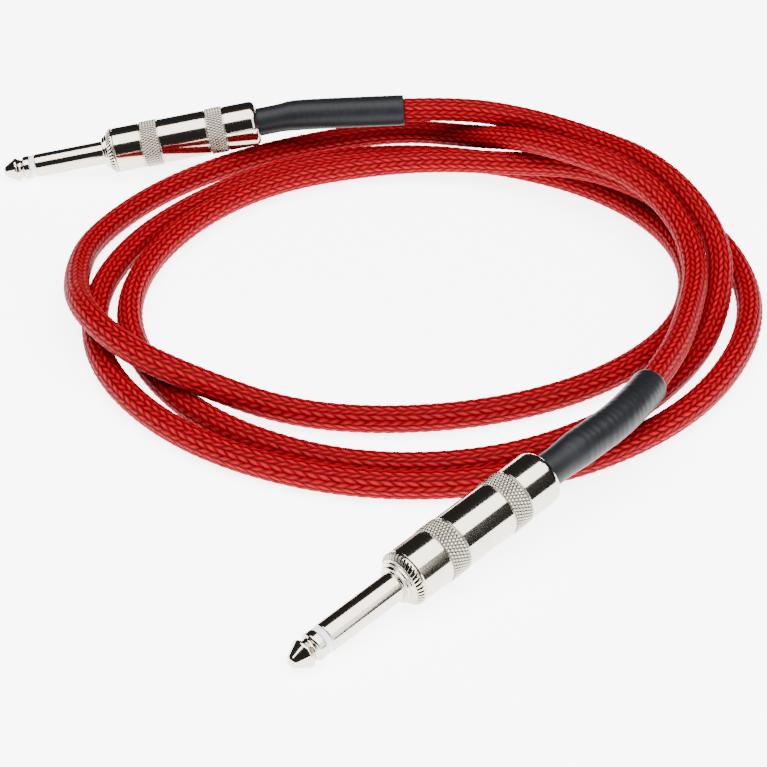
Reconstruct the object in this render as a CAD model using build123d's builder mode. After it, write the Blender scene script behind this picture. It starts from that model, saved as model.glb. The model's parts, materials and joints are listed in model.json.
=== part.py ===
from build123d import *
import math
import os

# A braided instrument cable, laid in a loose flat coil, with a straight two-contact 6.35 mm plug at each end.
# The origin is under the middle of the two plugs, on the surface they rest on.
# Every length along a plug is counted from its tip towards the cord, in millimetres.

# Cord
CORD_R = 3.25
COIL_CENTRE = (27.53, 34.24)

# Plug, outside
TIP_R = 3.15
TIP_LAND = 3.3
SLEEVE_R = 3.175
INSULATOR_R = 3.0
SLEEVE_FRONT = 8.8
FLANGE_FRONT = 29.4
FLANGE_REAR = 31.2
FLANGE_R = 6.1
BARREL_R = 6.15
BARREL_FRONT = 31.3
BARREL_REAR = 71.4
REAR_ROUNDING = 1.8
BAND_R = 6.3
BAND_LENGTH = 4.6
BAND_FRONTS = (39.1, 57.4)
GROOVES = 40

# Plug, inside
ROD_R = 1.25
TUBE_R = 1.95
BOSS_R = 4.9
BOSS_REAR = 37.5
TAIL_R = 2.6
TAIL_REAR = 38.7
THREAD_REAR = 38.5
THREAD_BORE_R = 4.98
LINER_OUT_R = 5.28
BARREL_BORE_R = 5.35
LINER_IN_R = 4.75
LINER_FRONT = 39.0
REAR_WALL = 67.0
REAR_HOLE_R = 4.15
LUG_THICK = 0.5
LUG_FRONT = 39.7
JACKET_FRONT = 55.0
JACKET_R = 2.6
CORE_FRONT = 49.0
CORE_R = 1.2
WIRE_FRONT = 42.8
WIRE_R = 0.5
TAB_UNDER = 0.6
CLAMP_FRONT = 57.0
CLAMP_REAR = 61.5
STRIP_TOP = -3.6
PIGTAIL_R = 0.45
PIGTAIL_END = 46.5

# Heat-shrink boot
BOOT_FRONT = 62.5
BOOT_R = 3.85
BOOT_FLARE = 76.6
BRAID_FRONT = 77.6
BOOT_END_R = 4.2
BOOT_BEND = 82.0
BOOT_LAST_RUN = 13.0

os.makedirs("parts", exist_ok=True)

# Route of the cord from the far plug's boot round to the near plug's boot, clockwise from above:
# angle in degrees and radius about the coil's centre, and height of the cord's middle.
ROUTE = [
    # out of the far boot, along the top of the coil and down its right side
    (91, 68.75, 16.5), (78, 70.75, 17), (62, 73.25, 15.5), (46, 73.25, 15.5), (31, 73.25, 17.5),
    (17, 76, 15), (4, 78.75, 9.75), (-11, 77, 5.75), (-27, 76, 3.25), (-50, 76.75, 3.5),
    (-75, 79, 3.25), (-100, 79.75, 3.25), (-125, 77.75, 3.25), (-148, 74.5, 3.25), (-169, 72, 3.25),
    (-190, 67.75, 3.5), (-212, 63.5, 4.5), (-235, 62, 4.25),
    # second turn, which climbs out over the outermost strand
    (-258, 60.25, 4.5), (-278, 61, 5.5), (-297, 61.75, 7.25), (-313, 66.75, 10), (-328, 70.5, 11),
    (-342, 78.75, 7.75), (-357, 85.25, 3.25), (-378, 86.5, 4), (-403, 86.5, 3.25), (-430, 87, 3.5),
    (-457, 86.75, 3.25), (-484, 86, 3.25), (-509, 84.5, 3.25), (-532, 80.25, 3.25),
    (-553, 74.75, 3.25), (-575, 70, 3.25), (-600, 69, 3.25),
    # third turn, flat on the floor, then a hump over two strands
    (-626, 68, 3.25), (-651, 68, 3.25), (-675, 70.75, 3.25), (-697, 73, 3.25), (-717, 72.5, 3.25),
    (-739, 69.25, 3.5), (-762, 64, 3.25), (-787, 60.5, 3.25), (-813, 60.75, 3.25),
    (-836, 64.25, 3.25), (-853, 73.5, 10), (-868, 79, 10.75), (-882, 83.25, 11.25),
    (-897, 84, 6.75), (-914, 85.75, 3.25), (-934, 82.25, 3.25), (-954, 79.5, 3.25),
    (-972, 78.75, 3.5), (-989, 78.25, 5.5),
    # last part, over the stack at the top right and into the near boot
    (-1005, 72.25, 7.75), (-1020, 62.5, 15.25), (-1036, 60.25, 18), (-1052, 66.75, 16.75),
    (-1068, 70.5, 13.25), (-1084, 71.5, 10), (-1102, 71.5, 10.25), (-1118, 76, 12.25),
    (-1129, 80.5, 13.25),
]


def route_points():
    """The route's points in space."""
    points = []
    for angle, radius, height in ROUTE:
        turn = math.radians(angle)
        x = COIL_CENTRE[0] + radius * math.cos(turn)
        y = COIL_CENTRE[1] + radius * math.sin(turn)
        points.append(Vector(x, y, height))
    return points


def corner_radii(points):
    """The largest arc that the two runs at each corner leave room for."""
    radii = []
    for before, corner, after in zip(points, points[1:], points[2:]):
        run_in = corner - before
        run_out = after - corner
        half_turn = math.radians(run_in.get_angle(run_out)) / 2
        shorter = min(run_in.length, run_out.length)
        radii.append(0.45 * shorter / math.tan(half_turn))
    return radii


CORD_POINTS = route_points()


class Plug:
    """Where one plug lies: resting on its tip, its axis heading and rising towards the cord."""

    def __init__(self, name, tip_x, tip_y, heading, rise, cord_point, next_point):
        self.name = name
        flat = math.radians(heading)
        up = math.radians(rise)
        self.along = Vector(math.cos(up) * math.cos(flat), math.cos(up) * math.sin(flat), math.sin(up))
        tip_height = TIP_R * math.cos(up) - TIP_LAND * math.sin(up)
        self.tip = Vector(tip_x, tip_y, tip_height)
        self.side = self.along.cross(Vector(0, 0, 1)).normalized()
        self.axis = Axis(self.tip, self.along)
        # length along x, distance from the axis along y
        self.section = Plane(origin=self.tip, x_dir=self.along, z_dir=self.side)
        self.cord_end = cord_point
        self.cord_way = (next_point - cord_point).normalized()

    def at(self, length):
        """The point on the axis at that length."""
        return self.tip + self.along * length

    def across(self, length):
        """The plane square to the axis at that length, its y axis on the upper side."""
        return Plane(origin=self.at(length), x_dir=self.side * -1, z_dir=self.along)

    def boot_route(self):
        """The points the boot's middle bends through, from where the braid begins to the cord's end."""
        last_bend = self.cord_end - self.cord_way * BOOT_LAST_RUN
        return [self.at(BRAID_FRONT), self.at(BOOT_BEND), last_bend, self.cord_end]

    def save(self, builder, piece):
        """Name one of the plug's pieces and write it out."""
        label = f"{self.name}_{piece}"
        builder.part.label = label
        export_step(builder.part, f"parts/{label}.step")


def make_tip_contact(plug):
    """Nose cone, waist and collar, turned in one piece with the rod that runs back to the tip lug."""
    with BuildPart() as tip_contact:
        with BuildSketch(plug.section):
            with BuildLine():
                Polyline(
                    (0, 0), (0, 0.95), (0.35, 1.4), (2.9, 2.9), (TIP_LAND, TIP_R), (3.7, TIP_R),
                    (4.1, 2.75), (4.65, 2.42), (5.15, 2.42), (5.7, TIP_R), (7.4, TIP_R),
                    (7.4, ROD_R), (40.2, ROD_R), (40.2, 1.7), (40.8, 1.7), (41.0, 1.3), (41.0, 0),
                    close=True,
                )
            make_face()
        revolve(axis=plug.axis)
    plug.save(tip_contact, "tip_contact")


def make_tip_insulator(plug):
    """The pale ring between the tip's collar and the sleeve."""
    with BuildPart() as tip_insulator:
        with BuildSketch(plug.section):
            with BuildLine():
                Polyline(
                    (7.4, ROD_R), (7.4, INSULATOR_R - 0.1), (7.6, INSULATOR_R), (SLEEVE_FRONT, INSULATOR_R), (SLEEVE_FRONT, ROD_R),
                    close=True,
                )
            make_face()
        revolve(axis=plug.axis)
    plug.save(tip_insulator, "tip_insulator")


def make_inner_tube(plug):
    """The insulating tube between the rod and the sleeve."""
    with BuildPart() as inner_tube:
        with BuildSketch(plug.section):
            with BuildLine():
                Polyline(
                    (SLEEVE_FRONT, ROD_R), (SLEEVE_FRONT, TUBE_R), (TAIL_REAR, TUBE_R), (TAIL_REAR, ROD_R),
                    close=True,
                )
            make_face()
        revolve(axis=plug.axis)
    plug.save(inner_tube, "inner_tube")


def make_sleeve_body(plug):
    """The plug's finger, stepped collar, serrated flange, threaded boss and spun-over tail, in one piece."""
    with BuildPart() as sleeve_body:
        with BuildSketch(plug.section):
            with BuildLine():
                Polyline(
                    (SLEEVE_FRONT, TUBE_R), (SLEEVE_FRONT, 3.0), (9.0, SLEEVE_R), (28.0, SLEEVE_R),
                    (28.0, 4.0), (28.15, 4.2), (28.8, 4.2), (28.8, 4.7), (FLANGE_FRONT, 4.7),
                    (FLANGE_FRONT, 5.1), (30.4, FLANGE_R), (FLANGE_REAR, FLANGE_R), (FLANGE_REAR, BOSS_R),
                    (BOSS_REAR, BOSS_R), (BOSS_REAR, TAIL_R), (TAIL_REAR, TAIL_R), (TAIL_REAR, TUBE_R),
                    close=True,
                )
            make_face()
        revolve(axis=plug.axis)
        # slanted grooves round the flange's front edge
        with BuildSketch(plug.across(FLANGE_FRONT - 0.2)):
            with PolarLocations(5.6, GROOVES):
                Rectangle(1.5, 0.35, rotation=28)
        extrude(amount=0.95, mode=Mode.SUBTRACT)
    plug.save(sleeve_body, "sleeve_body")


def make_rear_washer(plug):
    """The insulating washer between the sleeve's tail and the tip lug."""
    with BuildPart() as rear_washer:
        with BuildSketch(plug.across(TAIL_REAR)):
            Circle(3.3)
            Circle(ROD_R, mode=Mode.SUBTRACT)
        extrude(amount=LUG_FRONT - TAIL_REAR)
    plug.save(rear_washer, "rear_washer")


def make_tip_lug(plug):
    """A washer held under the rod's peened end, with a tab that jogs in to meet the centre wire."""
    with BuildPart() as tip_lug:
        with BuildSketch(plug.across(LUG_FRONT)):
            Circle(2.3)
            Circle(ROD_R, mode=Mode.SUBTRACT)
        extrude(amount=LUG_THICK)
        with BuildSketch(plug.section):
            with BuildLine():
                Polyline(
                    (LUG_FRONT, 1.8), (LUG_FRONT, 2.3), (42.2, 2.3), (42.2, TAB_UNDER + LUG_THICK),
                    (47.0, TAB_UNDER + LUG_THICK), (47.0, TAB_UNDER), (41.7, TAB_UNDER), (41.7, 1.8),
                    close=True,
                )
            make_face()
        extrude(amount=1.2, both=True)
    plug.save(tip_lug, "tip_lug")


def make_ground_lug(plug):
    """A washer round the sleeve's tail, with a long strip that ends in the cord's clamp."""
    with BuildPart() as ground_lug:
        with BuildSketch(plug.across(BOSS_REAR)):
            Circle(4.2)
            Circle(2.6, mode=Mode.SUBTRACT)
        extrude(amount=LUG_THICK)
        with BuildSketch(plug.section):
            with BuildLine():
                Polyline(
                    (BOSS_REAR, -4.1), (BOSS_REAR, STRIP_TOP), (CLAMP_FRONT, STRIP_TOP), (CLAMP_FRONT, -2.85),
                    (CLAMP_REAR, -2.85),
                    (CLAMP_REAR, -4.1),
                    close=True,
                )
            make_face()
        extrude(amount=1.5, both=True)
        with BuildSketch(plug.across(CLAMP_FRONT)):
            Circle(3.2)
            Circle(JACKET_R, mode=Mode.SUBTRACT)
        extrude(amount=4.5)
        # the bore is cleared again where the strip's block reaches into it
        with BuildSketch(plug.across(56.5)):
            Circle(JACKET_R)
        extrude(amount=5.5, mode=Mode.SUBTRACT)
    plug.save(ground_lug, "ground_lug")


def make_centre_wire(plug):
    """The bare centre conductor, from the tip lug to the core's insulation."""
    with BuildPart() as centre_wire:
        with BuildSketch(plug.across(WIRE_FRONT)):
            Circle(WIRE_R)
        extrude(amount=CORE_FRONT - WIRE_FRONT)
    plug.save(centre_wire, "centre_wire")


def make_core(plug):
    """The centre conductor's own insulation, stripped clear of the jacket."""
    with BuildPart() as core:
        with BuildSketch(plug.across(CORE_FRONT)):
            Circle(CORE_R)
        extrude(amount=JACKET_FRONT - CORE_FRONT)
    plug.save(core, "core")


def make_jacket(plug):
    """The cord's inner jacket, from the clamp back to where the braid begins."""
    with BuildPart() as jacket:
        with BuildSketch(plug.across(JACKET_FRONT)):
            Circle(JACKET_R)
        extrude(amount=BRAID_FRONT - JACKET_FRONT)
    plug.save(jacket, "jacket")


def make_tip_solder(plug):
    """The solder round the centre wire, under the tip lug's tab."""
    with BuildPart() as tip_solder:
        with BuildSketch(plug.section):
            with BuildLine():
                Polyline(
                    (43.2, TAB_UNDER), (43.2, 0), (43.4, -0.7), (43.9, -1.0), (45.5, -1.0), (46.0, -0.7),
                    (46.2, 0), (46.2, TAB_UNDER),
                    close=True,
                )
            make_face()
        extrude(amount=0.9, both=True)
        with BuildSketch(plug.across(WIRE_FRONT)):
            Circle(WIRE_R)
        extrude(amount=4, mode=Mode.SUBTRACT)
    plug.save(tip_solder, "tip_solder")


def make_pigtail(plug):
    """The twisted shield strands, from the jacket's end down to the ground lug's strip."""
    on_strip = STRIP_TOP + PIGTAIL_R
    corners = [(JACKET_FRONT, -1.95), (54.2, -1.95), (51.6, on_strip), (PIGTAIL_END, on_strip)]
    points = [plug.section.from_local_coords(corner) for corner in corners]
    with BuildPart() as pigtail:
        with BuildLine():
            FilletPolyline(*points, radius=corner_radii(points))
        with BuildSketch(Plane(origin=points[0], z_dir=plug.along * -1)):
            Circle(PIGTAIL_R)
        sweep()
    plug.save(pigtail, "pigtail")


def make_ground_solder(plug):
    """The solder that fixes the pigtail's end to the ground lug's strip."""
    with BuildPart() as ground_solder:
        with BuildSketch(plug.section):
            with BuildLine():
                Polyline(
                    (46.2, STRIP_TOP), (46.2, -2.9), (46.8, -2.4), (48.8, -2.4), (49.6, -2.9),
                    (49.8, STRIP_TOP),
                    close=True,
                )
            make_face()
        extrude(amount=0.95, both=True)
        # the strands' own channel, open towards the strip
        with BuildSketch(plug.across(PIGTAIL_END)):
            with Locations((0, STRIP_TOP + PIGTAIL_R)):
                Circle(PIGTAIL_R)
            with Locations((0, STRIP_TOP)):
                Rectangle(2 * PIGTAIL_R, 2 * PIGTAIL_R)
        extrude(amount=4, mode=Mode.SUBTRACT)
    plug.save(ground_solder, "ground_solder")


def make_boot(plug):
    """The heat-shrink boot: straight where the barrel slides over it, then wider over the braid and bent."""
    points = plug.boot_route()
    radii = corner_radii(points)
    with BuildPart() as boot:
        with BuildSketch(plug.section):
            with BuildLine():
                Polyline(
                    (BOOT_FRONT, JACKET_R), (BOOT_FRONT, BOOT_R), (BOOT_FLARE, BOOT_R),
                    (BRAID_FRONT, BOOT_END_R), (BRAID_FRONT, JACKET_R),
                    close=True,
                )
            make_face()
        revolve(axis=plug.axis)
        with BuildLine():
            FilletPolyline(*points, radius=radii)
        with BuildSketch(plug.across(BRAID_FRONT)):
            Circle(BOOT_END_R)
            Circle(CORD_R, mode=Mode.SUBTRACT)
        sweep()
    plug.save(boot, "boot")


def make_cord_end(plug):
    """The last of the braid, inside the boot."""
    points = plug.boot_route()
    with BuildPart() as cord_end:
        with BuildLine():
            FilletPolyline(*points, radius=corner_radii(points))
        with BuildSketch(plug.across(BRAID_FRONT)):
            Circle(CORD_R)
        sweep()
    plug.save(cord_end, "cord_end")


def make_barrel(plug):
    """The turned shell: a running thread bore at the front, two raised bands, a rounded rear with its hole."""
    band_1, band_2 = BAND_FRONTS
    with BuildPart() as barrel:
        with BuildSketch(plug.section):
            with BuildLine():
                outside = Polyline(
                    (THREAD_REAR, THREAD_BORE_R), (BARREL_FRONT, THREAD_BORE_R), (BARREL_FRONT, 6.0),
                    (BARREL_FRONT + 0.15, BARREL_R), (band_1, BARREL_R), (band_1 + 0.15, BAND_R),
                    (band_1 + BAND_LENGTH - 0.15, BAND_R), (band_1 + BAND_LENGTH, BARREL_R),
                    (band_2, BARREL_R), (band_2 + 0.15, BAND_R), (band_2 + BAND_LENGTH - 0.15, BAND_R),
                    (band_2 + BAND_LENGTH, BARREL_R), (BARREL_REAR - REAR_ROUNDING, BARREL_R),
                )
                rounding = RadiusArc(outside @ 1, (BARREL_REAR, BARREL_R - REAR_ROUNDING), REAR_ROUNDING)
                Polyline(
                    rounding @ 1, (BARREL_REAR, REAR_HOLE_R), (REAR_WALL, REAR_HOLE_R),
                    (REAR_WALL, BARREL_BORE_R), (THREAD_REAR, BARREL_BORE_R), (THREAD_REAR, THREAD_BORE_R),
                )
            make_face()
        revolve(axis=plug.axis)
    plug.save(barrel, "barrel")


def make_liner(plug):
    """The insulating liner inside the barrel."""
    with BuildPart() as liner:
        with BuildSketch(plug.across(LINER_FRONT)):
            Circle(LINER_OUT_R)
            Circle(LINER_IN_R, mode=Mode.SUBTRACT)
        extrude(amount=REAR_WALL - 0.1 - LINER_FRONT)
    plug.save(liner, "liner")


def make_cord():
    """The braided cord between the two boots: straight runs joined by the largest arcs they allow."""
    radii = corner_radii(CORD_POINTS)
    print("cord arc radii", [round(radius) for radius in radii], "smallest", round(min(radii), 1))
    with BuildPart() as cable:
        with BuildLine() as middle:
            FilletPolyline(*CORD_POINTS, radius=radii)
        with BuildSketch(Plane(origin=CORD_POINTS[0], z_dir=CORD_POINTS[1] - CORD_POINTS[0])):
            Circle(CORD_R)
        sweep()
    length = middle.wires()[0].length
    expected = math.pi * CORD_R**2 * length
    print("cord length", round(length, 1), "volume ratio", round(cable.part.volume / expected, 4))
    cable.part.label = "cable"
    export_step(cable.part, "parts/cable.step")


PIECES = (
    make_tip_contact,
    make_tip_insulator,
    make_inner_tube,
    make_sleeve_body,
    make_rear_washer,
    make_tip_lug,
    make_ground_lug,
    make_centre_wire,
    make_core,
    make_jacket,
    make_tip_solder,
    make_pigtail,
    make_ground_solder,
    make_boot,
    make_cord_end,
    make_barrel,
    make_liner,
)

plug_a = Plug("plug_a", 2.65, -106.38, 43.09, 7.5, CORD_POINTS[-1], CORD_POINTS[-2])
plug_b = Plug("plug_b", -83.91, 93.03, 6.46, 9.05, CORD_POINTS[0], CORD_POINTS[1])

for one_plug in (plug_a, plug_b):
    for make_piece in PIECES:
        make_piece(one_plug)
make_cord()
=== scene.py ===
import json
import math

import bpy
import numpy as np
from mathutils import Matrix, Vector


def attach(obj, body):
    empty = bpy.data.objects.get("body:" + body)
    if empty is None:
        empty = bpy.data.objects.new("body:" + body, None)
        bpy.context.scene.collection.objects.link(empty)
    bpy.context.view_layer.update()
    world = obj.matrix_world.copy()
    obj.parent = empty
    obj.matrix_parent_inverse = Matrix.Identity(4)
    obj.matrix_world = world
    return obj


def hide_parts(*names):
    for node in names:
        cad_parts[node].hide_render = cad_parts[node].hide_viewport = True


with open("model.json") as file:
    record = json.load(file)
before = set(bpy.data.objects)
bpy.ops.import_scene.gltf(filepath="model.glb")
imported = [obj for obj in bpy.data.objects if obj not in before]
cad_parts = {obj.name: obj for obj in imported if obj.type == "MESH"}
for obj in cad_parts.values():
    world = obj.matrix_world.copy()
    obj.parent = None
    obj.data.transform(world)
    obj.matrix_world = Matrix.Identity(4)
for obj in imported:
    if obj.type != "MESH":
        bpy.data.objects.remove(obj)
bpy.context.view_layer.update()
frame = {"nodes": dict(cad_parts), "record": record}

# The camera: it looks down on the coil from beyond the near plug, with a long lens, so that the
# round coil shows as a flat oval.
CAMERA_PLACE = (0.02075, -0.39566, 0.268)
CAMERA_DOWN = 34.55
camera_data = bpy.data.cameras.new("camera")
camera_data.lens = 93.87
camera = bpy.data.objects.new("camera", camera_data)
camera.location = CAMERA_PLACE
camera.rotation_euler = (math.radians(90 - CAMERA_DOWN), 0, 0)
bpy.context.scene.collection.objects.link(camera)
bpy.context.scene.camera = camera


# The floor: a plain pale sheet that the coil lies on. It glows, as a sheet lit from below does, and
# most of its brightness is that glow, so that it stays white and its shadows stay faint.
class Wire:
    """A socket in a material's node tree, with arithmetic that adds Math nodes."""

    def __init__(self, paint, socket):
        self.paint = paint
        self.socket = socket

    def __add__(self, other):
        return self.paint.math("ADD", self, other)

    def __radd__(self, other):
        return self.paint.math("ADD", other, self)

    def __sub__(self, other):
        return self.paint.math("SUBTRACT", self, other)

    def __mul__(self, other):
        return self.paint.math("MULTIPLY", self, other)

    def __pow__(self, other):
        return self.paint.math("POWER", self, other)


class Paint:
    """One material, built node by node."""

    def __init__(self, name):
        self.material = bpy.data.materials.new(name)
        self.material.use_nodes = True
        self.tree = self.material.node_tree
        self.tree.nodes.clear()

    def feed(self, socket, value):
        if isinstance(value, Wire):
            self.tree.links.new(value.socket, socket)
        else:
            socket.default_value = value

    def node(self, kind, settings, inputs, output=0):
        made = self.tree.nodes.new(kind)
        for key, value in settings.items():
            setattr(made, key, value)
        for key, value in inputs.items():
            self.feed(made.inputs[key], value)
        return Wire(self, made.outputs[output]) if made.outputs else None

    def math(self, operation, *values):
        return self.node("ShaderNodeMath", {"operation": operation}, dict(enumerate(values)))

    def mix(self, factor, first, second):
        inputs = {0: factor, 6: first, 7: second}
        return self.node("ShaderNodeMix", {"data_type": "RGBA"}, inputs, output=2)

    def noise(self, place, scale, detail=2.0):
        inputs = {"Vector": place, "Scale": scale, "Detail": detail}
        return self.node("ShaderNodeTexNoise", {}, inputs)

    def place(self):
        """Where a point lies on the piece, in metres."""
        return self.node("ShaderNodeTexCoord", {}, {}, output=3)

    def bump(self, height, distance, strength=1.0):
        inputs = {"Height": height, "Distance": distance, "Strength": strength}
        return self.node("ShaderNodeBump", {}, inputs)

    def surface(self, **sockets):
        inputs = {key.replace("_", " "): value for key, value in sockets.items()}
        shader = self.node("ShaderNodeBsdfPrincipled", {}, inputs)
        self.node("ShaderNodeOutputMaterial", {}, {"Surface": shader})
        return self.material


FLOOR_HALF = 3.0
FLOOR_GLOW = 5.6
floor_paint = Paint("pale_floor")
floor_cloud = floor_paint.noise(floor_paint.place(), 3.0)
floor_colour = floor_paint.mix(floor_cloud, (0.90, 0.90, 0.90, 1), (0.94, 0.94, 0.94, 1))
floor_surface = floor_paint.surface(
    Base_Color=floor_colour,
    Roughness=0.6,
    Emission_Color=floor_colour,
    Emission_Strength=FLOOR_GLOW,
)
floor_corners = [(x * FLOOR_HALF, y * FLOOR_HALF, 0) for x, y in ((-1, -1), (1, -1), (1, 1), (-1, 1))]
floor_mesh = bpy.data.meshes.new("floor")
floor_mesh.from_pydata(floor_corners, [], [(0, 1, 2, 3)])
floor_mesh.materials.append(floor_surface)
floor = bpy.data.objects.new("floor", floor_mesh)
bpy.context.scene.collection.objects.link(floor)

# The light: one wide soft box straight above, in a dark studio, so that the plated metal shows a
# broad white band between black ones, and a smaller one to the right of the camera, which the near
# plug shows along its right side.
world = bpy.data.worlds.new("studio")
world.use_nodes = True
world.node_tree.nodes["Background"].inputs["Color"].default_value = (1, 1, 1, 1)
world.node_tree.nodes["Background"].inputs["Strength"].default_value = 0.04
bpy.context.scene.world = world


def soft_box(name, place, aim, width, depth, power):
    data = bpy.data.lights.new(name, "AREA")
    data.shape = "RECTANGLE"
    data.size = width
    data.size_y = depth
    data.energy = power
    lamp = bpy.data.objects.new(name, data)
    lamp.location = place
    way = Vector(aim) - Vector(place)
    lamp.rotation_euler = way.to_track_quat("-Z", "Y").to_euler()
    bpy.context.scene.collection.objects.link(lamp)


soft_box("top_box", (0.0, -0.12, 0.9), (0.0, -0.12, 0.0), 1.7, 0.9, 44)
soft_box("side_box", (0.62, -0.68, 0.45), (0.02, -0.06, 0.0), 0.7, 0.8, 9)

# The cord: a braid of red yarn over a round inner jacket, 6.5 mm across, laid in a loose flat coil
# of a little more than three turns, its two ends inside the plugs' boots.
COIL_CENTRE = (0.02753, 0.03424)
# angle in degrees and radius about the coil's centre, and height of the cord's middle
ROUTE = [
    # out of the far boot, along the top of the coil and down its right side
    (91, 0.06875, 0.0165), (78, 0.07075, 0.017), (62, 0.07325, 0.0155), (46, 0.07325, 0.0155),
    (31, 0.07325, 0.0175),
    (17, 0.076, 0.015), (4, 0.07875, 0.00975), (-11, 0.077, 0.00575), (-27, 0.076, 0.00325),
    (-50, 0.07675, 0.0035),
    (-75, 0.079, 0.00325), (-100, 0.07975, 0.00325), (-125, 0.07775, 0.00325), (-148, 0.0745, 0.00325),
    (-169, 0.072, 0.00325),
    (-190, 0.06775, 0.0035), (-212, 0.0635, 0.0045), (-235, 0.062, 0.00425),
    # second turn, which climbs out over the outermost strand
    (-258, 0.06025, 0.0045), (-278, 0.061, 0.0055), (-297, 0.06175, 0.00725), (-313, 0.06675, 0.01),
    (-328, 0.0705, 0.011),
    (-342, 0.07875, 0.00775), (-357, 0.08525, 0.00325), (-378, 0.0865, 0.004), (-403, 0.0865, 0.00325),
    (-430, 0.087, 0.0035),
    (-457, 0.08675, 0.00325), (-484, 0.086, 0.00325), (-509, 0.0845, 0.00325), (-532, 0.08025, 0.00325),
    (-553, 0.07475, 0.00325), (-575, 0.07, 0.00325), (-600, 0.069, 0.00325),
    # third turn, flat on the floor, then a hump over two strands
    (-626, 0.068, 0.00325), (-651, 0.068, 0.00325), (-675, 0.07075, 0.00325), (-697, 0.073, 0.00325),
    (-717, 0.0725, 0.00325),
    (-739, 0.06925, 0.0035), (-762, 0.064, 0.00325), (-787, 0.0605, 0.00325), (-813, 0.06075, 0.00325),
    (-836, 0.06425, 0.00325), (-853, 0.0735, 0.01), (-868, 0.079, 0.01075), (-882, 0.08325, 0.01125),
    (-897, 0.084, 0.00675), (-914, 0.08575, 0.00325), (-934, 0.08225, 0.00325), (-954, 0.0795, 0.00325),
    (-972, 0.07875, 0.0035), (-989, 0.07825, 0.0055),
    # last part, over the stack at the top right and into the near boot
    (-1005, 0.07225, 0.00775), (-1020, 0.0625, 0.01525), (-1036, 0.06025, 0.018), (-1052, 0.06675, 0.01675),
    (-1068, 0.0705, 0.01325), (-1084, 0.0715, 0.01), (-1102, 0.0715, 0.01025), (-1118, 0.076, 0.01225),
    (-1129, 0.0805, 0.01325),
]
CORD_R = 0.00325
BRAID_STEP = 0.00042
BRAID_AROUND = 80
BRAID_COLUMNS = 16
BRAID_PITCH = 0.0027
BRAID_ADVANCE = 0.0023
BRAID_DEPTH = 0.00034


def route_points(route, centre):
    points = []
    for angle, radius, height in route:
        turn = math.radians(angle)
        points.append((centre[0] + radius * math.cos(turn), centre[1] + radius * math.sin(turn), height))
    return points


def smooth_line(points, steps=16):
    """Points along the open NURBS spline of order 3 that has these control points."""
    data = bpy.data.curves.new("line", "CURVE")
    data.dimensions = "3D"
    data.resolution_u = steps
    spline = data.splines.new("NURBS")
    spline.points.add(len(points) - 1)
    for spot, point in zip(spline.points, points):
        spot.co = (*point, 1)
    spline.order_u = 3
    spline.use_endpoint_u = True
    holder = bpy.data.objects.new("line", data)
    mesh = bpy.data.meshes.new_from_object(holder)
    line = np.array([vertex.co[:] for vertex in mesh.vertices])
    bpy.data.objects.remove(holder)
    bpy.data.curves.remove(data)
    bpy.data.meshes.remove(mesh)
    return line


def even_line(line, step):
    """The same line with its points a step apart, and how far along it each one is."""
    runs = np.linalg.norm(np.diff(line, axis=0), axis=1)
    travelled = np.concatenate([[0], np.cumsum(runs)])
    count = int(round(travelled[-1] / step)) + 1
    wanted = np.linspace(0, travelled[-1], count)
    spots = np.stack([np.interp(wanted, travelled, line[:, axis]) for axis in range(3)], axis=1)
    return spots, wanted


def cross_frames(line):
    """Two directions square to the line at every point, which turn as little as they can."""
    ways = np.gradient(line, axis=0)
    ways /= np.linalg.norm(ways, axis=1)[:, None]
    first = np.cross(ways[0], (0, 0, 1.0))
    first /= np.linalg.norm(first)
    firsts = [first]
    for way in ways[1:]:
        first = firsts[-1] - way * np.dot(firsts[-1], way)
        firsts.append(first / np.linalg.norm(first))
    firsts = np.array(firsts)
    return firsts, np.cross(ways, firsts)


def ring_mesh(name, rings, closed, caps):
    """A mesh through rings of points, an array of ring, point on the ring and xyz."""
    count, around = rings.shape[:2]
    mesh = bpy.data.meshes.new(name)
    loops = count if closed else count - 1
    here = np.arange(loops)[:, None] * around
    there = (np.arange(loops)[:, None] + 1) % count * around
    spot = np.arange(around)[None, :]
    after = (spot + 1) % around
    quads = np.stack([here + spot, here + after, there + after, there + spot], axis=2).reshape(-1, 4)
    mesh.vertices.add(count * around)
    mesh.vertices.foreach_set("co", rings.reshape(-1))
    corners = quads.reshape(-1)
    sizes = [4] * len(quads)
    if caps:
        last = (count - 1) * around
        ends = [np.arange(around)[::-1], np.arange(around) + last]
        corners = np.concatenate([corners, *ends])
        sizes += [around, around]
    starts = np.concatenate([[0], np.cumsum(sizes)[:-1]])
    mesh.loops.add(len(corners))
    mesh.loops.foreach_set("vertex_index", corners.astype(np.int32))
    mesh.polygons.add(len(sizes))
    mesh.polygons.foreach_set("loop_start", starts.astype(np.int32))
    mesh.update(calc_edges=True)
    mesh.validate()
    mesh.shade_smooth()
    return mesh


def put_number(mesh, name, values):
    """Keeps a number for each point, which a material reads back."""
    layer = mesh.attributes.new(name, "FLOAT", "POINT")
    layer.data.foreach_set("value", np.asarray(values, dtype=np.float32).reshape(-1))


def put_piece(name, mesh, material, body, replaced=()):
    """Adds a piece to the model: what it is made of, the body it rides on, what it stands for."""
    piece = bpy.data.objects.new(name, mesh)
    bpy.context.scene.collection.objects.link(piece)
    mesh.materials.append(material)
    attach(piece, body)
    if replaced:
        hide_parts(*replaced)
    return piece


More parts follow.
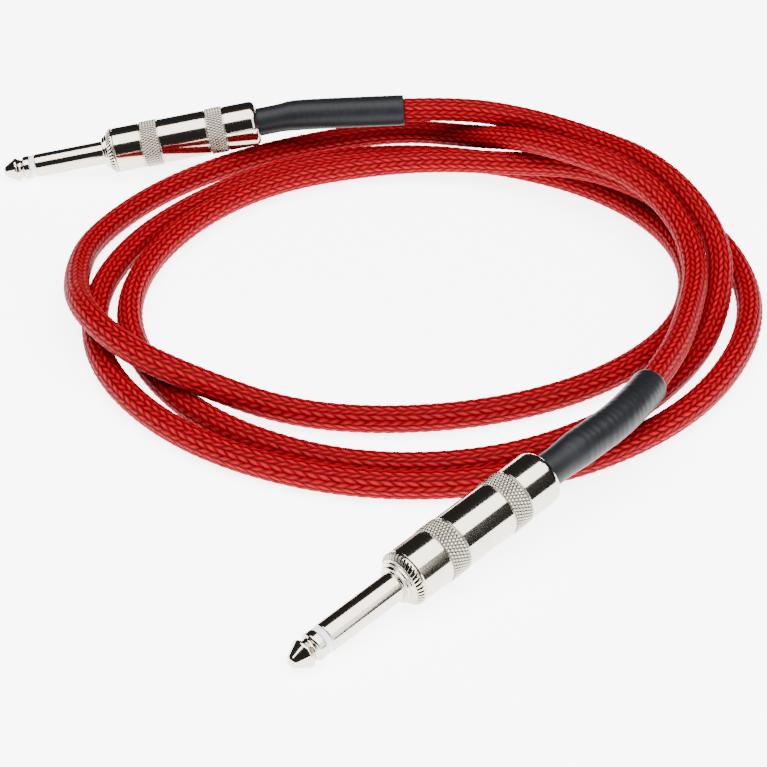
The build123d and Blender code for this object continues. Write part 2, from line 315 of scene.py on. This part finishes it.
def braid_paint():
    paint = Paint("red_braid")
    height = paint.node("ShaderNodeAttribute", {"attribute_name": "yarn"}, {}, output=2)
    lay = paint.node("ShaderNodeAttribute", {"attribute_name": "lay"}, {}, output=2)
    cloud = paint.noise(paint.place(), 90.0, 3.0)
    fibres = paint.noise(paint.place(), 5200.0, 2.0)
    # Painted sheen: the yarns of one lay are painted a little lighter than those of the other lay, in shade
    # and in light alike.
    deep = paint.mix(lay, (0.012, 0.0, 0.0002, 1), (0.02, 0.0, 0.0003, 1))
    bright = paint.mix(lay, (0.28, 0.0, 0.005, 1), (0.34, 0.0, 0.007, 1))
    # Painted shade and highlight: deep is the red in shade and bright the red in light; the yarns go near
    # black down their sides and in the gaps between them, and bright on their crowns.
    yarn = paint.mix(height**2.0, deep, bright)
    # The cloud mixes in a paler red at random, as wear, on top of the painted shade and sheen.
    wear_shade_and_sheen = paint.mix(cloud * 0.12, yarn, (0.22, 0.0, 0.003, 1))
    return paint.surface(
        Base_Color=wear_shade_and_sheen,
        Roughness=0.38 + fibres * 0.16,
        Specular_IOR_Level=0.03,
        Normal=paint.bump(fibres, 0.00003),
    )


cord_points = route_points(ROUTE, COIL_CENTRE)
cord_line = smooth_line(cord_points)
braid_line, braid_travel = even_line(cord_line, BRAID_STEP)
firsts, seconds = cross_frames(braid_line)
around = np.arange(BRAID_AROUND) / BRAID_AROUND
column = around * BRAID_COLUMNS
across = column % 1.0
slant = np.where(column.astype(int) % 2 == 0, 1.0, -1.0)
shift = slant * (across - 0.5) * BRAID_ADVANCE / BRAID_PITCH + np.where(slant > 0, 0.0, 0.5)
phase = (braid_travel[:, None] / BRAID_PITCH - shift[None, :]) % 1.0
yarn_round = np.sqrt(np.clip(1 - (2 * phase - 1) ** 2, 0, 1))
yarn_dip = 0.35 + 0.65 * np.sin(math.pi * across) ** 0.7
yarn_height = yarn_round * yarn_dip[None, :]
radius = CORD_R - BRAID_DEPTH * (1 - yarn_height)
turn = around * 2 * math.pi
outward = firsts[:, None, :] * np.cos(turn)[None, :, None] + seconds[:, None, :] * np.sin(turn)[None, :, None]
braid_mesh = ring_mesh("cord", braid_line[:, None, :] + outward * radius[:, :, None], False, True)
put_number(braid_mesh, "yarn", yarn_height)
put_number(braid_mesh, "lay", np.broadcast_to(slant * 0.5 + 0.5, yarn_height.shape))
cord = put_piece("cord", braid_mesh, braid_paint(), "cord_and_plugs", ["cable"])

# The plugs' turned metal: the tip with its waist and collar, and the sleeve with its stepped collar
# and serrated flange. Both are turned from brass and plated with bright nickel.
MM = 0.001
KNURL_DEPTH = 0.26
MOUNT_LENGTH = 18.5


class Plug:
    """One plug's place, found from its mount: lengths are from the tip towards the cord."""

    def __init__(self, name, cord_end, cord_next):
        self.name = name
        mount = next(m for m in frame["record"]["mounts"] if m["name"] == name + "_jack")
        self.along = -Vector(mount["axis"]).normalized()
        self.tip = Vector(mount["pos_m"]) - self.along * MOUNT_LENGTH * MM
        self.side = self.along.cross(Vector((0, 0, 1))).normalized()
        self.up = self.side.cross(self.along)
        self.cord_end = Vector(cord_end)
        self.cord_way = (Vector(cord_next) - self.cord_end).normalized()

    def at(self, length):
        return self.tip + self.along * length * MM


plugs = (
    Plug("plug_a", cord_points[-1], cord_points[-2]),
    Plug("plug_b", cord_points[0], cord_points[1]),
)


def softened(outline, size, closed):
    """The outline with each corner cut by a small curve, so that its edges catch the light."""
    result = []
    count = len(outline)
    for index, corner in enumerate(outline):
        if not closed and index in (0, count - 1):
            result.append(corner)
            continue
        middle = Vector(corner)
        before = Vector(outline[index - 1])
        after = Vector(outline[(index + 1) % count])
        cut = min(size, 0.45 * (before - middle).length, 0.45 * (after - middle).length)
        start = middle + (before - middle).normalized() * cut
        end = middle + (after - middle).normalized() * cut
        for step in (0.0, 0.33, 0.67, 1.0):
            inward = start.lerp(middle, step)
            outward_point = middle.lerp(end, step)
            result.append(tuple(inward.lerp(outward_point, step)))
    return result


def supported(outline, near):
    """The outline with a point close to each end of every long run, which keeps the runs' shading flat."""
    result = [outline[0]]
    for start, end in zip(outline, outline[1:]):
        run = math.dist(start, end)
        if run > 4 * near:
            for share in (near / run, 1 - near / run):
                result.append(tuple(a + (b - a) * share for a, b in zip(start, end)))
        result.append(end)
    return result


def turned(plug, name, outline, segments, closed=True, relief=None):
    """A mesh turned about the plug's axis from (length, radius) points in millimetres. relief adds
    a radial offset from arrays of length, radius and turns, and how deep it goes is kept as "pit"."""
    shape = np.array(supported(outline, 0.04))
    turns = np.arange(segments) / segments
    lengths = np.repeat(shape[:, :1], segments, axis=1)
    radii = np.repeat(shape[:, 1:], segments, axis=1)
    offset = np.zeros_like(radii)
    if relief is not None:
        offset = relief(lengths, radii, np.broadcast_to(turns, radii.shape))
    radii = radii + offset
    angle = turns * 2 * math.pi
    upward = np.array(plug.up)[None, :] * np.cos(angle)[:, None]
    sideways = np.array(plug.side)[None, :] * np.sin(angle)[:, None]
    spoke = upward + sideways
    rings = (
        np.array(plug.tip)[None, None, :]
        + np.array(plug.along)[None, None, :] * lengths[:, :, None] * MM
        + spoke[None, :, :] * radii[:, :, None] * MM
    )
    mesh = ring_mesh(name, rings, closed, not closed)
    put_number(mesh, "pit", np.clip(-offset / KNURL_DEPTH, 0, 1))
    return mesh


def nickel_paint():
    paint = Paint("bright_nickel")
    cloud = paint.noise(paint.place(), 120.0, 3.0)
    grain = paint.noise(paint.place(), 2600.0, 2.0)
    pit = paint.node("ShaderNodeAttribute", {"attribute_name": "pit"}, {}, output=2)
    tone = paint.mix(cloud, (0.52, 0.47, 0.39, 1), (0.44, 0.395, 0.325, 1))
    return paint.surface(
        # Painted shade: the knurl's pits and the flange's serration grooves are painted near black, the
        # deeper the darker.
        Base_Color=paint.mix(pit**0.6, tone, (0.010, 0.009, 0.007, 1)),
        Metallic=1.0,
        Roughness=0.06 + cloud * 0.05 + grain * 0.03 + pit * 0.2,
        Normal=paint.bump(grain, 0.000004),
    )


nickel = nickel_paint()
TIP = [
    (0, 0.001), (0, 0.95), (0.35, 1.4), (2.9, 2.9), (3.3, 3.15), (3.7, 3.15), (4.1, 2.75), (4.65, 2.42),
    (5.15, 2.42), (5.7, 3.15), (7.4, 3.15), (7.4, 1.25), (40.2, 1.25), (40.2, 1.7), (40.8, 1.7), (41.0, 1.3),
    (41.0, 0.001),
]
SLEEVE = [
    (8.8, 1.95), (8.8, 3.0), (9.0, 3.175), (28.0, 3.175), (28.0, 4.0), (28.15, 4.2), (28.8, 4.2), (28.8, 4.7),
    (29.4, 4.7), (29.4, 5.1), (29.6, 5.3), (29.8, 5.5), (30.0, 5.7), (30.2, 5.9), (30.4, 6.1), (30.7, 6.1),
    (31.2, 6.1), (31.2, 4.9), (37.5, 4.9), (37.5, 2.6), (38.7, 2.6), (38.7, 1.95),
]
SERRATIONS = 40
SERRATION_DEPTH = 0.42


def serration(lengths, radii, turns):
    """Slanted grooves in the flange's sloping front edge."""
    wave = np.abs(2 * ((turns * SERRATIONS + lengths * 0.55) % 1.0) - 1)
    groove = np.clip((wave - 0.45) / 0.25, 0, 1)
    on_slope = (radii > 5.2) & (lengths < 30.75)
    return np.where(on_slope, -SERRATION_DEPTH * groove, 0.0)


for plug in plugs:
    tip_mesh = turned(plug, "tip", softened(TIP, 0.22, False), 96, closed=False)
    put_piece(plug.name + "_tip", tip_mesh, nickel, "cord_and_plugs", [plug.name + "_tip_contact"])
    sleeve_mesh = turned(plug, "sleeve", softened(SLEEVE, 0.12, True), 480, relief=serration)
    sleeve_node = plug.name + "_sleeve_body"
    put_piece(plug.name + "_sleeve", sleeve_mesh, nickel, "cord_and_plugs", [sleeve_node])

# The barrels: a plated shell screwed over the sleeve's boss, with two raised bands of diamond
# knurling for the fingers and a rounded rear end with the boot's hole in it.
BAND_FRONTS = (39.1, 57.4)
BAND_LENGTH = 4.6
BAND_R = 6.3
BAND_STEPS = 38
GROOVE_R = 5.95
BARREL_R = 6.15
BARREL_REAR = 71.4
KNURLS = 50
KNURL_PITCH = 0.76
REAR_ROUNDING = 1.8


def barrel_outline():
    points = [(38.5, 4.98), (31.3, 4.98), (31.3, GROOVE_R), (31.5, BARREL_R), (35.0, BARREL_R)]
    for front in BAND_FRONTS:
        rear = front + BAND_LENGTH
        points += [(front - 0.35, BARREL_R), (front - 0.2, GROOVE_R), (front, GROOVE_R)]
        points += [(front + step * BAND_LENGTH / BAND_STEPS, BAND_R) for step in range(BAND_STEPS + 1)]
        points += [(rear, GROOVE_R), (rear + 0.2, GROOVE_R), (rear + 0.35, BARREL_R)]
    for step in range(9):
        angle = step / 8 * math.pi / 2
        length = BARREL_REAR - REAR_ROUNDING + REAR_ROUNDING * math.sin(angle)
        points.append((length, BARREL_R - REAR_ROUNDING + REAR_ROUNDING * math.cos(angle)))
    points += [(BARREL_REAR, 4.3), (71.25, 4.15), (67.0, 4.15), (67.0, 5.35), (38.5, 5.35)]
    return points


def knurl(lengths, radii, turns):
    """Diamonds between two sets of slanted grooves, on the bands only."""
    around_count = turns * KNURLS
    along_count = lengths / KNURL_PITCH / 2
    one = 1 - np.abs(2 * ((around_count + along_count) % 1.0) - 1)
    other = 1 - np.abs(2 * ((around_count - along_count) % 1.0) - 1)
    diamond = np.clip(np.minimum(one, other) * 1.9, 0, 1)
    on_band = radii > 6.25
    return np.where(on_band, -KNURL_DEPTH * (1 - diamond), 0.0)


for plug in plugs:
    barrel_mesh = turned(plug, "barrel", barrel_outline(), 400, relief=knurl)
    barrel_body = plug.name + "_barrel_turn"
    put_piece(plug.name + "_shell", barrel_mesh, nickel, barrel_body, [plug.name + "_barrel"])

# The tip insulators: a pale moulded ring between each plug's tip and sleeve.
INSULATOR = [(7.4, 1.25), (7.4, 2.9), (7.6, 3.0), (8.8, 3.0), (8.8, 1.25)]


def pale_plastic_paint():
    paint = Paint("pale_plastic")
    cloud = paint.noise(paint.place(), 400.0)
    tone = paint.mix(cloud, (0.62, 0.68, 0.72, 1), (0.76, 0.80, 0.83, 1))
    return paint.surface(
        Base_Color=tone,
        Roughness=0.35 + cloud * 0.1,
        Subsurface_Weight=0.15,
        Subsurface_Scale=0.001,
    )


pale_plastic = pale_plastic_paint()
for plug in plugs:
    ring = turned(plug, "insulator", softened(INSULATOR, 0.1, True), 96)
    ring_node = plug.name + "_tip_insulator"
    put_piece(plug.name + "_ring", ring, pale_plastic, "cord_and_plugs", [ring_node])

# The boots: black heat-shrink sleeve, shrunk tight round the cord's end, wider over the braid and
# bent with it, cut off square.
BOOT_STEP = 0.00035
BOOT_AROUND = 72
BOOT_R = 3.85
BOOT_WIDER = 0.34
BOOT_MOUTH_R = 3.28
MOUTH_RINGS = 14


def shrink_paint():
    paint = Paint("black_shrink")
    ripple = paint.node("ShaderNodeAttribute", {"attribute_name": "ripple"}, {}, output=2)
    cloud = paint.noise(paint.place(), 160.0, 3.0)
    grain = paint.noise(paint.place(), 3000.0, 2.0)
    tone = paint.mix(cloud, (0.003, 0.0034, 0.0042, 1), (0.008, 0.009, 0.011, 1))
    return paint.surface(
        Base_Color=tone,
        Roughness=0.40 + cloud * 0.12 - ripple * 0.06,
        Specular_IOR_Level=0.14,
        Normal=paint.bump(grain, 0.00002),
    )


def boot_mesh(plug):
    last_bend = plug.cord_end - plug.cord_way * 13 * MM
    corners = [plug.at(62.5), plug.at(71), plug.at(77.5), plug.at(82), last_bend, plug.cord_end]
    line, travelled = even_line(smooth_line([tuple(corner) for corner in corners], 40), BOOT_STEP)
    firsts, seconds = cross_frames(line)
    share = np.clip((travelled - 0.0140) / 0.006, 0, 1)
    wide = BOOT_R + BOOT_WIDER * share * share * (3 - 2 * share)
    wave = 0.5 + 0.5 * np.sin(travelled / 0.0003 + 1.3 * np.sin(travelled / 0.0012))
    wide = wide + 0.05 * (wave - 0.5) * share
    lip = np.array([0.0, -0.04, -0.12])
    wide[-3:] += lip
    inner = np.full(MOUTH_RINGS, BOOT_MOUTH_R)
    angle = np.arange(BOOT_AROUND) / BOOT_AROUND * 2 * math.pi
    spokes = firsts[:, None, :] * np.cos(angle)[None, :, None]
    spokes = spokes + seconds[:, None, :] * np.sin(angle)[None, :, None]
    outside = line[:, None, :] + spokes * wide[:, None, None] * MM
    inside_line = line[::-1][:MOUTH_RINGS]
    inside = inside_line[:, None, :] + spokes[::-1][:MOUTH_RINGS] * inner[:, None, None] * MM
    mesh = ring_mesh("boot", np.concatenate([outside, inside]), False, True)
    outside_ripple = np.repeat(wave[:, None], BOOT_AROUND, axis=1)
    ripple = np.concatenate([outside_ripple, np.zeros((MOUTH_RINGS, BOOT_AROUND))])
    put_number(mesh, "ripple", ripple)
    return mesh


black_shrink = shrink_paint()
for plug in plugs:
    boot_node = plug.name + "_boot"
    put_piece(plug.name + "_shrink", boot_mesh(plug), black_shrink, "cord_and_plugs", [boot_node])

# Inside the plugs: lugs of tinned steel, solder, copper wire, plastic washers and tubes and the
# cord's own layers. They show only when a barrel is unscrewed.


def cloudy_metal_paint(name, dark, light, scale, detail, rough, spread, relief):
    paint = Paint(name)
    cloud = paint.noise(paint.place(), scale, detail)
    return paint.surface(
        Base_Color=paint.mix(cloud, dark, light),
        Metallic=1.0,
        Roughness=rough + cloud * spread,
        Normal=paint.bump(cloud, relief),
    )


def plain_plastic_paint(name, dark, light, rough):
    paint = Paint(name)
    cloud = paint.noise(paint.place(), 350.0, 2.0)
    return paint.surface(Base_Color=paint.mix(cloud, dark, light), Roughness=rough + cloud * 0.12)


tin = cloudy_metal_paint(
    "tinned_steel", (0.55, 0.54, 0.51, 1), (0.72, 0.71, 0.68, 1), 500.0, 3.0, 0.28, 0.15, 0.00002
)
solder = cloudy_metal_paint(
    "solder", (0.45, 0.45, 0.47, 1), (0.66, 0.66, 0.68, 1), 1500.0, 3.0, 0.22, 0.2, 0.00006
)
copper = cloudy_metal_paint(
    "copper", (0.62, 0.27, 0.14, 1), (0.78, 0.42, 0.26, 1), 2500.0, 2.0, 0.25, 0.15, 0.00005
)
black_plastic = plain_plastic_paint("black_plastic", (0.015, 0.015, 0.016, 1), (0.035, 0.035, 0.037, 1), 0.45)
jacket_rubber = plain_plastic_paint("jacket_rubber", (0.012, 0.012, 0.012, 1), (0.03, 0.03, 0.03, 1), 0.55)
liner_plastic = plain_plastic_paint("liner_plastic", (0.58, 0.55, 0.47, 1), (0.68, 0.66, 0.58, 1), 0.3)
end_braid = plain_plastic_paint("hidden_braid", (0.20, 0.0, 0.004, 1), (0.55, 0.002, 0.012, 1), 0.4)
INNER_MATERIALS = {
    "inner_tube": black_plastic,
    "rear_washer": pale_plastic,
    "tip_lug": tin,
    "ground_lug": tin,
    "centre_wire": copper,
    "core": pale_plastic,
    "jacket": jacket_rubber,
    "tip_solder": solder,
    "pigtail": copper,
    "ground_solder": solder,
    "cord_end": end_braid,
    "liner": liner_plastic,
}
for plug in plugs:
    for piece, material in INNER_MATERIALS.items():
        node = frame["nodes"][plug.name + "_" + piece]
        for place in node.material_slots:
            place.material = material
